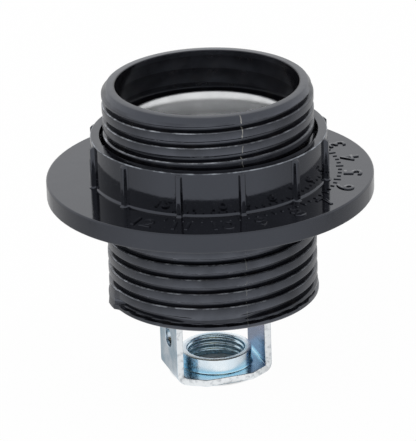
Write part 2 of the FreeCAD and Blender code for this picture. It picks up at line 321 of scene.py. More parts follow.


# %% [markdown]
# The housing is a black thermoset moulding. It is not one even black: it is a touch blue where it is
# smooth, and browner and duller where it was rubbed. A whitish torn seam runs up where the two mould
# halves met, a narrow band made wavy by noise. The thread's edges carry broken pale lines, partly wear
# and partly painted highlights, and its gloss grows from the top of each ridge to its foot. Both need
# a point's place in its pitch, worked out as the thread itself is, so they follow it however long it is.

# %% Housing finish
MOULDING_TINT = colour(0.79, 0.85, 1.0)
SEAM_WIDTH = 0.10 * MM
SEAM_OUTSIDE = (16.7 * MM, 17.1 * MM)
SEAM_PALER = (32 * MM, 44 * MM)
THREAD_PITCH = 2.6 * MM
GROOVE_AT_LEFT = 18.52 * MM
LEFT = math.pi
LOW_EDGE_PLACE = 0.22
HIGH_EDGE_PLACE = 0.785
EDGE_LINES_FOOT = (17.4 * MM, 18.2 * MM)
EDGE_LINES_TOP = (50.5 * MM, 50.0 * MM)
EDGE_LINES_OUTSIDE = (17.0 * MM, 17.2 * MM)
EDGE_LINES_TO_LEFT = (5 * MM, -3 * MM)
GLOSS_ON_RIDGE = (0.68, 0.33)
GLOSS_ON_BAND = 0.58
BAND_GLOSS_STARTS = (50.9 * MM, 51.3 * MM)
MOUTH_INSIDE = (15.8 * MM, 15.6 * MM)
GLOSS_IN_MOUTH = 0.4


def edge_wear_and_highlights(paint, place, x, z, out):
    """Broken pale lines on both edges of the outside thread's crest, partly wear and partly painted
    highlights, more of them at the left.
    """
    line_breaks = paint.noise(2.6 * MM, 5, rough=0.7)
    low = paint.product(paint.line(place, LOW_EDGE_PLACE, 0.03, 0.012),
                        paint.ramp(line_breaks, 0.54, 0.66, 0.0, 0.7))
    high = paint.product(paint.line(place, HIGH_EDGE_PLACE, 0.032, 0.015),
                         paint.ramp(line_breaks, 0.46, 0.66, 0.14, 1.0))
    return paint.product(paint.total(low, high), paint.ramp(x, *EDGE_LINES_TO_LEFT, 0.35, 1.0),
                         paint.ramp(z, *EDGE_LINES_TOP), paint.ramp(z, *EDGE_LINES_FOOT), paint.ramp(out, *EDGE_LINES_OUTSIDE))


def housing_finish():
    paint = Finish("housing_black", ior=1.76)
    x, y, z = paint.parts(paint.place)
    out = paint.from_axis()
    cloud = paint.noise(6 * MM, 4)
    rubbed = paint.ramp(paint.noise(2.2 * MM, 5), 0.52, 0.72)
    body = paint.blend(paint.ramp(cloud, 0.35, 0.65),
                       colour(0.003, 0.003, 0.004), colour(0.006, 0.006, 0.008))
    body = paint.blend(paint.product(rubbed, 0.5), body, colour(0.016, 0.014, 0.013))
    wave = paint.ramp(paint.noise(1.3 * MM, 2), 0.3, 0.7, -0.16 * MM, 0.16 * MM)
    seam = paint.product(paint.line(paint.total(x, wave), 0.0, SEAM_WIDTH * 1.1, SEAM_WIDTH * 0.6),
                         paint.ramp(paint.noise(0.9 * MM, 3), 0.42, 0.56),
                         paint.ramp(paint.math("ABSOLUTE", y), *SEAM_OUTSIDE))
    torn = paint.blend(paint.ramp(z, *SEAM_PALER), colour(0.10, 0.10, 0.09), colour(0.30, 0.29, 0.26))
    body = paint.blend(seam, body, torn)
    turn = paint.math("DIVIDE", paint.math("SUBTRACT", paint.math("ARCTAN2", y, x), LEFT), TURN)
    place = paint.place_in_pitch(z, turn, GROOVE_AT_LEFT, THREAD_PITCH)
    # Pale broken lines on the crest's edges: partly wear, partly painted highlights, stronger at the left
    # where the ridges catch the light.
    edge_lines = edge_wear_and_highlights(paint, place, x, z, out)
    body = paint.blend(paint.product(edge_lines, 0.85), body, colour(0.52, 0.55, 0.60))
    gloss = paint.product(paint.ramp(place, LOW_EDGE_PLACE, 0.80, *GLOSS_ON_RIDGE),
                          paint.ramp(paint.noise(4 * MM, 3), 0.35, 0.6, 0.85, 1.1))
    gloss = paint.math("MAXIMUM", gloss, paint.ramp(z, *BAND_GLOSS_STARTS, 0.0, GLOSS_ON_BAND))
    gloss = paint.product(gloss, paint.ramp(out, *MOUTH_INSIDE, 1.0, GLOSS_IN_MOUTH))
    paint.put(gloss, paint.shader["Specular IOR Level"])
    paint.put(MOULDING_TINT, paint.shader["Specular Tint"])
    roughness = paint.total(paint.ramp(cloud, 0.3, 0.7, 0.12, 0.20), paint.product(rubbed, 0.10),
                            paint.product(seam, 0.4))
    wavy = paint.noise(1.6 * MM, 2, paint.stretched((1, 1, 0.5)))
    grain = paint.noise(0.35 * MM, 3)
    paint.relief(paint.total(grain, paint.product(wavy, 3.0), paint.product(seam, 2.0)), 0.2, 0.03 * MM)
    return paint.finish(body, roughness)


# %% [markdown]
# The shade ring comes from a better polished mould, so its flange mirrors the collar and its ribs.
# Its gloss is broken only by fine swirls and by dust that shows as small duller specks. A pale broken
# line along the outer edge of the collar's rim is a painted highlight.

# %% Shade ring finish
COLLAR_RADIUS = 19.9 * MM


def ring_finish():
    paint = Finish("ring_black", ior=1.70)
    z = paint.parts(paint.place)["Z"]
    cloud = paint.noise(9 * MM, 3)
    swirl = paint.noise(1.1 * MM, 4)
    specks = paint.ramp(paint.noise(0.5 * MM, 2), 0.66, 0.72)
    body = paint.blend(paint.ramp(cloud, 0.35, 0.65),
                       colour(0.003, 0.003, 0.004), colour(0.005, 0.005, 0.007))
    body = paint.blend(paint.product(specks, 0.3), body, colour(0.03, 0.03, 0.03))
    # A pale broken line along the outer edge of the collar's rim: a painted highlight.
    rim = paint.product(paint.ramp(z, ring_high.z - 0.20 * MM, ring_high.z - 0.12 * MM),
                        paint.ramp(paint.from_axis(), COLLAR_RADIUS - 0.18 * MM, COLLAR_RADIUS - 0.12 * MM),
                        paint.ramp(paint.noise(2.4 * MM, 4), 0.42, 0.60, 0.1, 1.0))
    body = paint.blend(rim, body, colour(0.26, 0.28, 0.31))
    roughness = paint.total(paint.ramp(swirl, 0.35, 0.7, 0.06, 0.12), paint.product(specks, 0.15))
    paint.put(MOULDING_TINT, paint.shader["Specular Tint"])
    paint.relief(paint.total(paint.noise(3.5 * MM, 2), paint.product(swirl, 0.08)), 0.3, 0.05 * MM)
    return paint.finish(body, roughness)


# %% [markdown]
# The screw shell is drawn from thin sheet and nickel plated to a satin gloss. The draw leaves fine
# upright streaks, and the thread rollers leave rings, so its roughness and relief are noise stretched
# along and round Z.

# %% Sleeve finish


def sleeve_finish():
    metal = Finish("sleeve_nickel", metallic=1.0)
    marks = metal.total(metal.noise(0.5 * MM, 3, metal.stretched((1, 1, 0.06))),
                        metal.noise(0.35 * MM, 3, metal.stretched((0.08, 0.08, 1))))
    cloud = metal.ramp(metal.noise(5 * MM, 3), 0.35, 0.7)
    body = metal.blend(cloud, colour(0.72, 0.73, 0.74), colour(0.86, 0.87, 0.88))
    metal.relief(marks, 0.06, 0.003 * MM)
    return metal.finish(body, metal.ramp(marks, 0.7, 1.3, 0.29, 0.38))


# %% [markdown]
# The bracket is bright steel with zinc plating and a blue passivation film. The film is thinner or
# thicker from place to place, so the metal turns from pale blue to pink and violet in soft clouds,
# most on the inside of the right leg. Sheared edges stay paler because the film is thin there. An
# attribute of the mesh tells them, because no coordinate does.

# %% Bracket finish
LEG_INSIDE = ((6.6 * MM, 7.0 * MM), (7.6 * MM, 7.3 * MM))
LEG_PINK = (8 * MM, 14 * MM)
PLATE_TOP = (2.0 * MM, 1.6 * MM)
PLATE_MIDDLE = (8.6 * MM, 7.6 * MM)
COLLAR_WALL = ((6.5 * MM, 6.3 * MM), (5.4 * MM, 5.6 * MM))
COLLAR_FOOT = (1.5 * MM, 2.0 * MM)
TAPPED = (5.15 * MM, 5.05 * MM)
TAPPED_FOOT = (0.2 * MM, 0.6 * MM)


def bracket_film(metal, cloud, spangle):
    """The colour of the film: clouds of blue, a violet inner leg, a blue plate and a pale collar."""
    x, y, z = metal.parts(metal.place)
    out = metal.from_axis()
    pale = metal.blend(metal.ramp(spangle, 0.3, 0.7), colour(0.62, 0.70, 0.78), colour(0.70, 0.78, 0.85))
    film = metal.blend(metal.ramp(cloud, 0.42, 0.62), pale, colour(0.36, 0.50, 0.60))
    leg = metal.product(metal.ramp(x, *LEG_INSIDE[0]), metal.ramp(x, *LEG_INSIDE[1]), 0.85)
    pink = metal.ramp(metal.total(z, metal.product(cloud, 6 * MM)), *LEG_PINK)
    film = metal.blend(leg, film, metal.blend(pink, colour(0.16, 0.22, 0.37), colour(0.42, 0.33, 0.41)))
    plate = metal.product(metal.ramp(z, *PLATE_TOP), metal.ramp(out, *PLATE_MIDDLE), 0.95)
    film = metal.blend(plate, film, colour(0.54, 0.80, 0.94))
    wall = metal.product(metal.ramp(out, *COLLAR_WALL[0]), metal.ramp(out, *COLLAR_WALL[1]),
                         metal.ramp(z, *COLLAR_FOOT))
    collar = metal.blend(metal.ramp(cloud, 0.4, 0.6), colour(0.84, 0.91, 0.95), colour(0.70, 0.80, 0.87))
    film = metal.blend(wall, film, collar)
    tapped = metal.product(metal.ramp(out, *TAPPED), metal.ramp(z, *TAPPED_FOOT), 0.7)
    return metal.blend(tapped, film, colour(0.66, 0.84, 0.94))


def bracket_finish():
    metal = Finish("bracket_zinc_blue", metallic=1.0)
    cloud = metal.noise(5 * MM, 2)
    spangle = metal.noise(0.5 * MM, 4)
    rolled = metal.noise(0.25 * MM, 3, metal.stretched((1, 0.08, 1)))
    sheared = metal.add("ShaderNodeAttribute", attribute_name="sheared").outputs["Fac"]
    torn = metal.product(metal.ramp(metal.noise(0.7 * MM, 4), 0.50, 0.68), 0.7)
    edge = metal.blend(torn, colour(0.84, 0.87, 0.89), colour(0.46, 0.49, 0.52))
    film = metal.blend(sheared, bracket_film(metal, cloud, spangle), edge)
    roughness = metal.total(metal.ramp(metal.total(spangle, rolled), 0.7, 1.3, 0.20, 0.30),
                            metal.product(sheared, 0.22))
    metal.relief(metal.total(rolled, metal.product(spangle, 0.4)), 0.15, 0.01 * MM)
    return metal.finish(film, roughness)


# %% [markdown]
# The small parts inside are brass, bronze and plated steel. They share one recipe: a tint, a darker
# tarnish in soft clouds, and fine tool marks.

# %% Finishes of the small parts


def worked_metal(name, bright, tarnish, rough_low, rough_high):
    metal = Finish(name, metallic=1.0)
    cloud = metal.noise(1.6 * MM, 4)
    marks = metal.noise(0.22 * MM, 3, metal.stretched((1, 1, 0.25)))
    metal.relief(marks, 0.3, 0.012 * MM)
    return metal.finish(metal.blend(metal.ramp(cloud, 0.45, 0.75), bright, tarnish),
                        metal.ramp(marks, 0.3, 0.7, rough_low, rough_high))


FINISHES = {
    "housing": housing_finish(),
    "ring": ring_finish(),
    "sleeve": sleeve_finish(),
    "bracket": bracket_finish(),
    "bronze": worked_metal("contact_bronze_sheet", colour(0.74, 0.50, 0.30), colour(0.42, 0.24, 0.13),
                           0.22, 0.38),
    "brass": worked_metal("terminal_brass_cut", colour(0.80, 0.62, 0.30), colour(0.46, 0.33, 0.14),
                          0.20, 0.36),
    "steel": worked_metal("rivet_steel_plated", colour(0.66, 0.67, 0.68), colour(0.34, 0.34, 0.35),
                          0.22, 0.40),
}
print("finishes", sorted(FINISHES))

# %% [markdown]
# Most of this object is turned: a line of points swept once round the axis. The helpers below take the
# points and a radius for each corner, round the corners with short arcs, and sweep them at the angles
# they are given. Walls that share their angles can be merged into one closed skin.

# %% Helpers for turned walls
ARC_STEPS = 4
MERGE_GAP = 0.002 * MM
SHARP_ANGLE = math.radians(38)


def eased(corners):
    """Points of an outline, with the corners (radius, height, ease) rounded by their ease in metres."""
    points = []
    last = len(corners) - 1
    for index, (radius, height, ease) in enumerate(corners):
        here = np.array((radius, height))
        if ease == 0 or index in (0, last):
            points.append(tuple(here))
            continue
        before = np.array(corners[index - 1][:2]) - here
        after = np.array(corners[index + 1][:2]) - here
        before = before / np.linalg.norm(before)
        after = after / np.linalg.norm(after)
        half = math.acos(np.clip(before @ after, -1, 1)) / 2
        run = ease / math.tan(half)
        bisector = (before + after) / np.linalg.norm(before + after)
        centre = here + bisector * ease / math.sin(half)
        first = here + before * run - centre
        second = here + after * run - centre
        spread = math.acos(np.clip(first @ second / ease ** 2, -1, 1))
        for step in range(ARC_STEPS + 1):
            share = step / ARC_STEPS
            mixed = first * math.sin((1 - share) * spread) + second * math.sin(share * spread)
            points.append(tuple(centre + mixed / math.sin(spread)))
    return points


def turned_wall(build, points, angles, reach=None):
    """Adds a wall swept round Z to a bmesh. Reach may move a point outwards, by (angle, point index)."""
    rings = []
    for index, (radius, height) in enumerate(points):
        if radius == 0:
            rings.append([build.verts.new((0, 0, height))])
            continue
        ring = []
        for angle in angles:
            out = radius + (reach(angle, index) if reach else 0)
            ring.append(build.verts.new((out * math.cos(angle), out * math.sin(angle), height)))
        rings.append(ring)
    count = len(angles)
    for low, high in zip(rings, rings[1:]):
        for column in range(count):
            beyond = (column + 1) % count
            corners = [low[column % len(low)], low[beyond % len(low)],
                       high[beyond % len(high)], high[column % len(high)]]
            build.faces.new([vert for place, vert in enumerate(corners) if vert not in corners[:place]])


def plain_mesh(piece):
    """What a piece's modifiers or its curve make, as a mesh of its own."""
    return bpy.data.meshes.new_from_object(piece.evaluated_get(bpy.context.evaluated_depsgraph_get()))


def made_plain(piece):
    """Keeps what a piece's modifiers make, and takes the modifiers away."""
    result = plain_mesh(piece)
    piece.modifiers.clear()
    piece.data = result
    return piece


def mesh_from(build, name):
    """The mesh that a bmesh holds. The bmesh is used up."""
    mesh = bpy.data.meshes.new(name)
    build.to_mesh(mesh)
    build.free()
    return mesh


def finished(build, name, material, angle=SHARP_ANGLE):
    """Closes a bmesh into one skin with its faces outwards, and gives it a material and smooth shading.
    Weighted normals let large flat faces keep their shading beside small rounded ones."""
    bmesh.ops.remove_doubles(build, verts=build.verts, dist=MERGE_GAP)
    bmesh.ops.dissolve_degenerate(build, edges=build.edges, dist=MERGE_GAP / 4)
    bmesh.ops.recalc_face_normals(build, faces=build.faces)
    open_edges = sum(1 for edge in build.edges if not edge.is_manifold)
    mesh = mesh_from(build, name)
    mesh.shade_smooth()
    mesh.set_sharp_from_angle(angle=angle)
    mesh.materials.clear()
    mesh.materials.append(material)
    piece = new_object(name, mesh)
    weigh = piece.modifiers.new("weigh", "WEIGHTED_NORMAL")
    weigh.keep_sharp = True
    weigh.weight = 80
    made_plain(piece)
    triangles = sum(len(face.vertices) - 2 for face in piece.data.polygons)
    print(name, "triangles", triangles, "open edges", open_edges)
    return piece


def even_angles(count, start=0.0):
    return [start + TURN * index / count for index in range(count)]


# %% [markdown]
# Threads and ticks are made by Geometry Nodes, and every such tree has the same frame: named inputs,
# and at its end real geometry with its material. So one helper makes that frame and runs the tree.

# %% A graph that makes geometry


class GeometryGraph(Graph):
    """A Geometry Nodes tree with named inputs. Kinds says of each input what kind of socket it is."""

    def __init__(self, name, kinds):
        super().__init__(bpy.data.node_groups.new(name, "GeometryNodeTree"))
        self.sockets = {}
        for label, kind in kinds.items():
            self.sockets[label] = self.tree.interface.new_socket(name=label, in_out="INPUT",
                                                                 socket_type="NodeSocket" + kind)
        self.tree.interface.new_socket(name="Geometry", in_out="OUTPUT", socket_type="NodeSocketGeometry")
        self.given = self.add("NodeGroupInput").outputs

    def polar(self, radius, angle, height):
        """A point from its radius, its angle round Z and its height."""
        across = self.product(radius, self.math("COSINE", angle))
        along = self.product(radius, self.math("SINE", angle))
        return self.add("ShaderNodeCombineXYZ", {"X": across, "Y": along, "Z": height}).outputs[0]

    def moved(self, geometry, place):
        return self.add("GeometryNodeSetPosition", {"Geometry": geometry, "Position": place}).outputs[0]

    def close(self, geometry):
        real = self.add("GeometryNodeRealizeInstances", {0: geometry}).outputs[0]
        painted = self.add("GeometryNodeSetMaterial", {"Geometry": real, "Material": self.given["Material"]})
        self.add("NodeGroupOutput", {0: painted.outputs[0]})

    def grown(self, name, values):
        """The object that the tree makes with these values, its mesh made plain."""
        carrier = new_object(name, bpy.data.meshes.new(name))
        modifier = carrier.modifiers.new("grow", "NODES")
        modifier.node_group = self.tree
        for label, value in values.items():
            modifier[self.sockets[label].identifier] = value
        return made_plain(carrier)


# %% [markdown]
# The thread is what gives the housing its look, and it follows a rule, so Geometry Nodes make it. A
# flat grid is rolled into a tube whose rows climb with the thread, one pitch in a turn. Each point's
# place in its pitch, from 0 to 1, goes through a curve that is the ridge's section, and that sets its
# radius. Bands without a thread are blended in at both ends. The same tree makes the lamp thread of
# the sleeve, the ring's inside thread and the fine thread of the cable entry.

# %% A tree that winds a threaded wall
WINDING_SIZES = ["Pitch", "Groove Height", "Low", "High", "Low Band", "High Band", "Blend",
                 "Low Radius", "High Radius", "Root Radius", "Depth", "Start Angle"]


def section_curve(graph, place, section):
    """The ridge's outline, given as (place in the pitch, lift) points, read at a place."""
    ridge = graph.add("ShaderNodeFloatCurve", {"Value": place})
    curve = ridge.mapping.curves[0]
    curve.points[0].location = section[0]
    curve.points[1].location = section[-1]
    for point in section[1:-1]:
        curve.points.new(*point)
    for point in curve.points:
        point.handle_type = "AUTO_CLAMPED"
    ridge.mapping.update()
    return ridge.outputs[0]


def winding_graph(name, section):
    kinds = dict.fromkeys(("Columns", "Rows", "Rows In Pitch"), "Int")
    kinds.update(dict.fromkeys(WINDING_SIZES, "Float"))
    graph = GeometryGraph(name, kinds | {"Material": "Material"})
    given = graph.given
    grid = graph.add("GeometryNodeMeshGrid", {"Vertices X": graph.total(given["Columns"], 1),
                                              "Vertices Y": graph.total(given["Rows"], 1)})
    flat = graph.parts(graph.add("GeometryNodeInputPosition").outputs[0])
    turn = graph.total(flat["X"], 0.5)
    row = graph.product(graph.total(flat["Y"], 0.5), given["Rows"])

    step = graph.math("DIVIDE", given["Pitch"], given["Rows In Pitch"])
    start = graph.math("SUBTRACT", given["Low"], given["Pitch"])
    wound = graph.total(start, graph.product(row, step), graph.product(turn, given["Pitch"]))
    height = graph.math("MAXIMUM", graph.math("MINIMUM", wound, given["High"]), given["Low"])

    place = graph.place_in_pitch(height, turn, given["Groove Height"], given["Pitch"])
    lift = graph.product(given["Depth"], section_curve(graph, place, section))
    low_end = graph.total(given["Low Band"], given["Blend"])
    high_start = graph.math("SUBTRACT", given["High Band"], given["Blend"])
    above_low = graph.ramp(height, given["Low Band"], low_end, easing="SMOOTHSTEP")
    above_high = graph.ramp(height, high_start, given["High Band"], easing="SMOOTHSTEP")
    radius = graph.add("ShaderNodeMix", {0: above_low, 2: given["Low Radius"],
                                         3: graph.total(given["Root Radius"], lift)}).outputs[0]
    radius = graph.add("ShaderNodeMix", {0: above_high, 2: radius, 3: given["High Radius"]}).outputs[0]

    angle = graph.total(given["Start Angle"], graph.product(turn, TURN))
    graph.close(graph.moved(grid.outputs["Mesh"], graph.polar(radius, angle, height)))
    return graph


def wound_wall(build, name, section, columns, rows_in_pitch, material, **sizes):
    """Adds a threaded wall to a bmesh. Sizes are the tree's inputs, spelled with underscores."""
    tall = sizes["high"] - sizes["low"] + sizes["pitch"]
    values = {"Columns": columns, "Rows": math.ceil(round(tall / sizes["pitch"] * rows_in_pitch, 6)),
              "Rows In Pitch": rows_in_pitch, "Material": material}
    for label in WINDING_SIZES:
        values[label] = float(sizes[label.lower().replace(" ", "_")])
    carrier = winding_graph(name, section).grown(name, values)
    build.from_mesh(carrier.data)
    bpy.data.objects.remove(carrier)


# %% [markdown]
# The housing's outside is one such wall, from the foot rim to the mouth. Its ridge has a flat crest
# with a rounded lower edge, which catches the white floor as a thin bright line, and a narrow groove.
# Some things break the rule and are pressed into the wall afterwards: near the foot the lowest groove
# is filled for part of the way round, a line runs round the rim and a stop lug stands at the left, at
# the top the wall narrows evenly to the mouth, and a thin flash runs up the front and the back. Then
# the mouth, the inside floor and the hollow foot are turned and merged with the wall.

# %% Housing
CREST_RADIUS = 17.75 * MM
ROOT_RADIUS = 16.72 * MM
OUTSIDE_WALL = 16.2 * MM
PRESSED_BELOW = 20 * MM
BAND_RADIUS = 16.9 * MM
BAND_FOOT = 50.85 * MM
BAND_START = 51.3 * MM
RIM_RADIUS = 17.9 * MM
RIM_TOP = 15.2 * MM
FOOT_LINE = 15.56 * MM
FOOT_LINE_HALF = (0.15 * MM, 0.36 * MM)
FOOT_LINE_DEPTH = 0.75 * MM
FILL_STARTS = (220, 246)
FILL_ENDS = (262, 280)
FILL_FOOT = (15.7 * MM, 15.95 * MM)
FILL_TOP = (17.4 * MM, 17.8 * MM)
LUG_SIDE = (1.9 * MM, 2.3 * MM)
LUG_TOP = (17.7 * MM, 18.3 * MM)
LUG_RADIUS = 18.35 * MM
LUG_SLOPE = 0.12
FLASH_HALF = 0.5 * MM
FLASH_REACH = 0.07 * MM
MOUTH_BORE = 15.46 * MM
FOOT_BORE = 15.0 * MM
FLOOR_TOP = 24.0 * MM
FLOOR_UNDERSIDE = 21.0 * MM
FLOOR_DISC = 8 * MM
HOUSING_COLUMNS = 150
HOUSING_ROWS = 30
EDGE_EASE = 0.18 * MM
RIDGE_SECTION = [(0.0, 0.0), (0.09, 0.02), (0.13, 0.18), (0.165, 0.58), (0.19, 0.79), (0.22, 0.91),
                 (0.26, 0.98), (0.31, 1.0), (0.71, 1.0), (0.76, 0.96), (0.80, 0.82), (0.855, 0.35),
                 (0.90, 0.06), (0.94, 0.0), (1.0, 0.0)]


def smooth(value, low, high):
    """Goes smoothly from 0 to 1 while value goes from low to high, for one number."""
    share = min(max((value - low) / (high - low), 0.0), 1.0)
    return share * share * (3 - 2 * share)


def press_foot(build):
    """Fills the lowest groove part of the way round, cuts the foot's line and raises the stop lug."""
    for vert in build.verts:
        x, y, z = vert.co
        radius = math.hypot(x, y)
        if z > PRESSED_BELOW or radius < OUTSIDE_WALL:
            continue
        azimuth = math.degrees(math.atan2(y, x)) % 360
        filled = smooth(azimuth, *FILL_STARTS) * (1 - smooth(azimuth, *FILL_ENDS))
        filled *= smooth(z, *FILL_FOOT) * (1 - smooth(z, *FILL_TOP))
        radius += max(CREST_RADIUS - 0.03 * MM - radius, 0) * filled
        line = 1 - smooth(abs(z - FOOT_LINE), *FOOT_LINE_HALF)
        radius = min(radius, CREST_RADIUS + 0.15 * MM - FOOT_LINE_DEPTH * line)
        side = 1 - smooth(abs(y), *LUG_SIDE) if x < 0 else 0
        spread = LUG_RADIUS - LUG_SLOPE * (z - shell_low.z)
        radius += max(spread - radius, 0) * side * (1 - smooth(z, *LUG_TOP))
        turn = math.radians(azimuth)
        vert.co = (radius * math.cos(turn), radius * math.sin(turn), z)


def taper_band(build):
    """Above the last groove the wall goes on from the crest and narrows evenly up to the mouth."""
    for vert in build.verts:
        x, y, z = vert.co
        radius = math.hypot(x, y)
        if z < BAND_FOOT or radius < OUTSIDE_WALL:
            continue
        rise = (z - BAND_FOOT) / (shell_high.z - BAND_FOOT)
        target = CREST_RADIUS - 0.04 * MM - (CREST_RADIUS - BAND_RADIUS) * rise
        if radius > BAND_RADIUS - 0.01 * MM or z < BAND_START:
            grown = radius + (target - radius) * smooth(z, BAND_FOOT, BAND_START)
            vert.co.x *= grown / radius
            vert.co.y *= grown / radius


def raise_flash(build):
    """A thin torn line of flash up the front and the back, where the mould halves met."""
    for vert in build.verts:
        x, y, z = vert.co
        if abs(x) > FLASH_HALF or abs(y) < OUTSIDE_WALL:
            continue
        torn = 0.6 + 0.4 * math.sin(z / MM * 3.1) * math.sin(z / MM * 1.7 + 1)
        vert.co.y += math.copysign(FLASH_REACH * torn * (1 - abs(x) / FLASH_HALF), y)


def make_housing():
    build = bmesh.new()
    wound_wall(build, "housing_wall", RIDGE_SECTION, HOUSING_COLUMNS, HOUSING_ROWS, FINISHES["housing"],
               pitch=THREAD_PITCH, groove_height=GROOVE_AT_LEFT, low=shell_low.z + EDGE_EASE,
               high=shell_high.z - EDGE_EASE, low_band=RIM_TOP, high_band=BAND_START, blend=0.3 * MM,
               low_radius=RIM_RADIUS, high_radius=BAND_RADIUS, root_radius=ROOT_RADIUS,
               depth=CREST_RADIUS - ROOT_RADIUS, start_angle=LEFT)
    angles = even_angles(HOUSING_COLUMNS, LEFT)
    mouth = shell_high.z
    foot = shell_low.z
    turned_wall(build, eased([
        (BAND_RADIUS, mouth - EDGE_EASE, 0), (BAND_RADIUS - EDGE_EASE, mouth, 0),
        (MOUTH_BORE, mouth, 0.15 * MM), (MOUTH_BORE, FLOOR_TOP, 0.5 * MM),
        (FLOOR_DISC, FLOOR_TOP, 0), (0, FLOOR_TOP, 0)]), angles)
    turned_wall(build, eased([
        (0, FLOOR_UNDERSIDE, 0), (FLOOR_DISC, FLOOR_UNDERSIDE, 0), (FOOT_BORE, FLOOR_UNDERSIDE, 0.4 * MM),
        (FOOT_BORE, foot, 0.2 * MM), (RIM_RADIUS - EDGE_EASE, foot, 0)])
                + [(RIM_RADIUS, foot + EDGE_EASE)], angles)
    bmesh.ops.remove_doubles(build, verts=build.verts, dist=MERGE_GAP)
    press_foot(build)
    taper_band(build)
    raise_flash(build)
    return finished(build, "housing", FINISHES["housing"])


housing = make_housing()

# %% [markdown]
# The shade ring is turned too, but twelve ribs stand on its collar so that fingers can grip it. The
# sweep's angles are close together at each rib, and there the collar's points are pushed outwards by
# a rounded bump. That gives the small soft corners that a mould gives, with no seam at the rib's foot.

# %% Shade ring
RIB_COUNT = 12
RIB_SPACING = TURN / RIB_COUNT
RIB_FIRST = math.radians(-93.0)
RIB_REACH = 0.7 * MM
RIB_SIDE = (0.34 * MM, 0.60 * MM)
RIB_HALF_OFFSETS = [0.0, 0.20, 0.34, 0.41, 0.48, 0.55, 0.64, 0.9]
RIB_TOP_GAP = 0.27 * MM
RIB_CROWN = 0.46 * MM
PANEL_STEPS = 6
FLANGE_RADIUS = 27.6 * MM
RING_BORE = 17.98 * MM
RING_FOOT_BORE = RING_BORE + 0.55 * MM
COUNTERBORE = 18.35 * MM
COLLAR_FILLET = 0.5 * MM


def rib_angles():
    """The sweep's angles: a dense fan over each rib and a few steps across each panel."""
    offsets = sorted({side * value for value in RIB_HALF_OFFSETS for side in (-1, 1)})
    fan = [value * MM / COLLAR_RADIUS for value in offsets]
    gap = (RIB_SPACING - 2 * fan[-1]) / (PANEL_STEPS + 1)
    panel = [fan[-1] + gap * (step + 1) for step in range(PANEL_STEPS)]
    return [RIB_FIRST + RIB_SPACING * index + value for index in range(RIB_COUNT) for value in fan + panel]


def rib_bump(angle):
    """How far out the collar stands at this angle, from 0 on a panel to 1 on a rib."""
    away = (angle - RIB_FIRST + RIB_SPACING / 2) % RIB_SPACING - RIB_SPACING / 2
    return 1 - smooth(abs(away) * COLLAR_RADIUS, *RIB_SIDE)


def make_ring():
    low = ring_low.z
    high = ring_high.z
    crown_top = high - RIB_TOP_GAP
    points = eased([
        (RING_FOOT_BORE, low, 0), (FLANGE_RADIUS, low, 0.30 * MM), (FLANGE_RADIUS, FLANGE_TOP, 0.32 * MM),
        (COLLAR_RADIUS, FLANGE_TOP, COLLAR_FILLET), (COLLAR_RADIUS, crown_top - 0.45 * MM, 0),
        (COLLAR_RADIUS, crown_top - 0.18 * MM, 0), (COLLAR_RADIUS, crown_top, 0),
        (COLLAR_RADIUS, high, 0.2 * MM), (COUNTERBORE, high, 0.12 * MM),
        (COUNTERBORE, low + 0.4 * MM, 0), (RING_FOOT_BORE, low, 0)])
    collar = [index for index, (radius, height) in enumerate(points)
              if height > FLANGE_TOP + 0.02 * MM
              and COUNTERBORE + 0.7 * MM < radius < COLLAR_RADIUS + COLLAR_FILLET]

    def reach(angle, index):
        if index not in collar:
            return 0
        crown = 1 - smooth(points[index][1], crown_top - RIB_CROWN, crown_top)
        return RIB_REACH * rib_bump(angle) * math.sqrt(crown)

    build = bmesh.new()
    turned_wall(build, points, rib_angles(), reach)
    return finished(build, "shade_ring_body", FINISHES["ring"], math.radians(50))


ring_body = make_ring()

# %% [markdown]
# The ring's inside thread runs on the housing. It is a separate liner here, wound by the same tree,
# with its grooves cut outwards so that it stays clear of the housing at every height of the ring.

# %% Ring thread
RING_SECTION = [(0.0, 1.0), (0.12, 1.0), (0.24, 0.35), (0.32, 0.0), (0.72, 0.0), (0.80, 0.35),
                (0.92, 1.0), (1.0, 1.0)]
RING_COLUMNS = 120
RING_THREAD_DEPTH = 0.34 * MM


def make_ring_thread():
    low = ring_low.z + 0.45 * MM
    high = ring_high.z - 1.3 * MM
    skin = COUNTERBORE + 0.12 * MM
    back = COUNTERBORE + 0.6 * MM
    build = bmesh.new()
    wound_wall(build, "ring_thread_wall", RING_SECTION, RING_COLUMNS, 12, FINISHES["ring"],
               pitch=THREAD_PITCH, groove_height=GROOVE_AT_LEFT, low=low, high=high,
               low_band=low + 0.2 * MM, high_band=high - 0.2 * MM, blend=0.3 * MM, low_radius=skin,
               high_radius=skin, root_radius=RING_BORE, depth=RING_THREAD_DEPTH, start_angle=LEFT)
    behind = [(skin, high), (back, high), (back, low), (skin, low)]
    turned_wall(build, behind, even_angles(RING_COLUMNS, LEFT))
    return finished(build, "ring_thread", FINISHES["ring"])


ring_thread = make_ring_thread()

# %% [markdown]
# The lamp screws into a sleeve of thin sheet. Its thread is rolled, so the inside and the outside
# follow the same soft wave, one sheet apart, and its top is flared to lead the lamp cap in. The flare
# is nearly a quarter turn, bent further by a power, and its underside lies one thickness away from it.

# %% Screw shell
LAMP_PITCH = 3.63 * MM
LAMP_GROOVE = 26.0 * MM
SLEEVE_COLUMNS = 132
SLEEVE_SHEET = 0.4 * MM
SLEEVE_BORE = 13.1 * MM
SLEEVE_ROOT = 12.3 * MM
SLEEVE_WAVE = 0.9 * MM
LIP_RADIUS = sleeve_high.x + 0.45 * MM
LIP_TEAR = 0.035 * MM
FLARE_SHEET = 0.36 * MM
FLARE_DEPTH = 3.2 * MM
FLARE_POWER = 1.2
FLARE_STEPS = 14
FLARE_END = math.radians(84)
WAVE_SECTION = [(0.0, 0.0), (0.125, 0.15), (0.25, 0.5), (0.375, 0.85), (0.5, 1.0), (0.625, 0.85),
                (0.75, 0.5), (0.875, 0.15), (1.0, 0.0)]


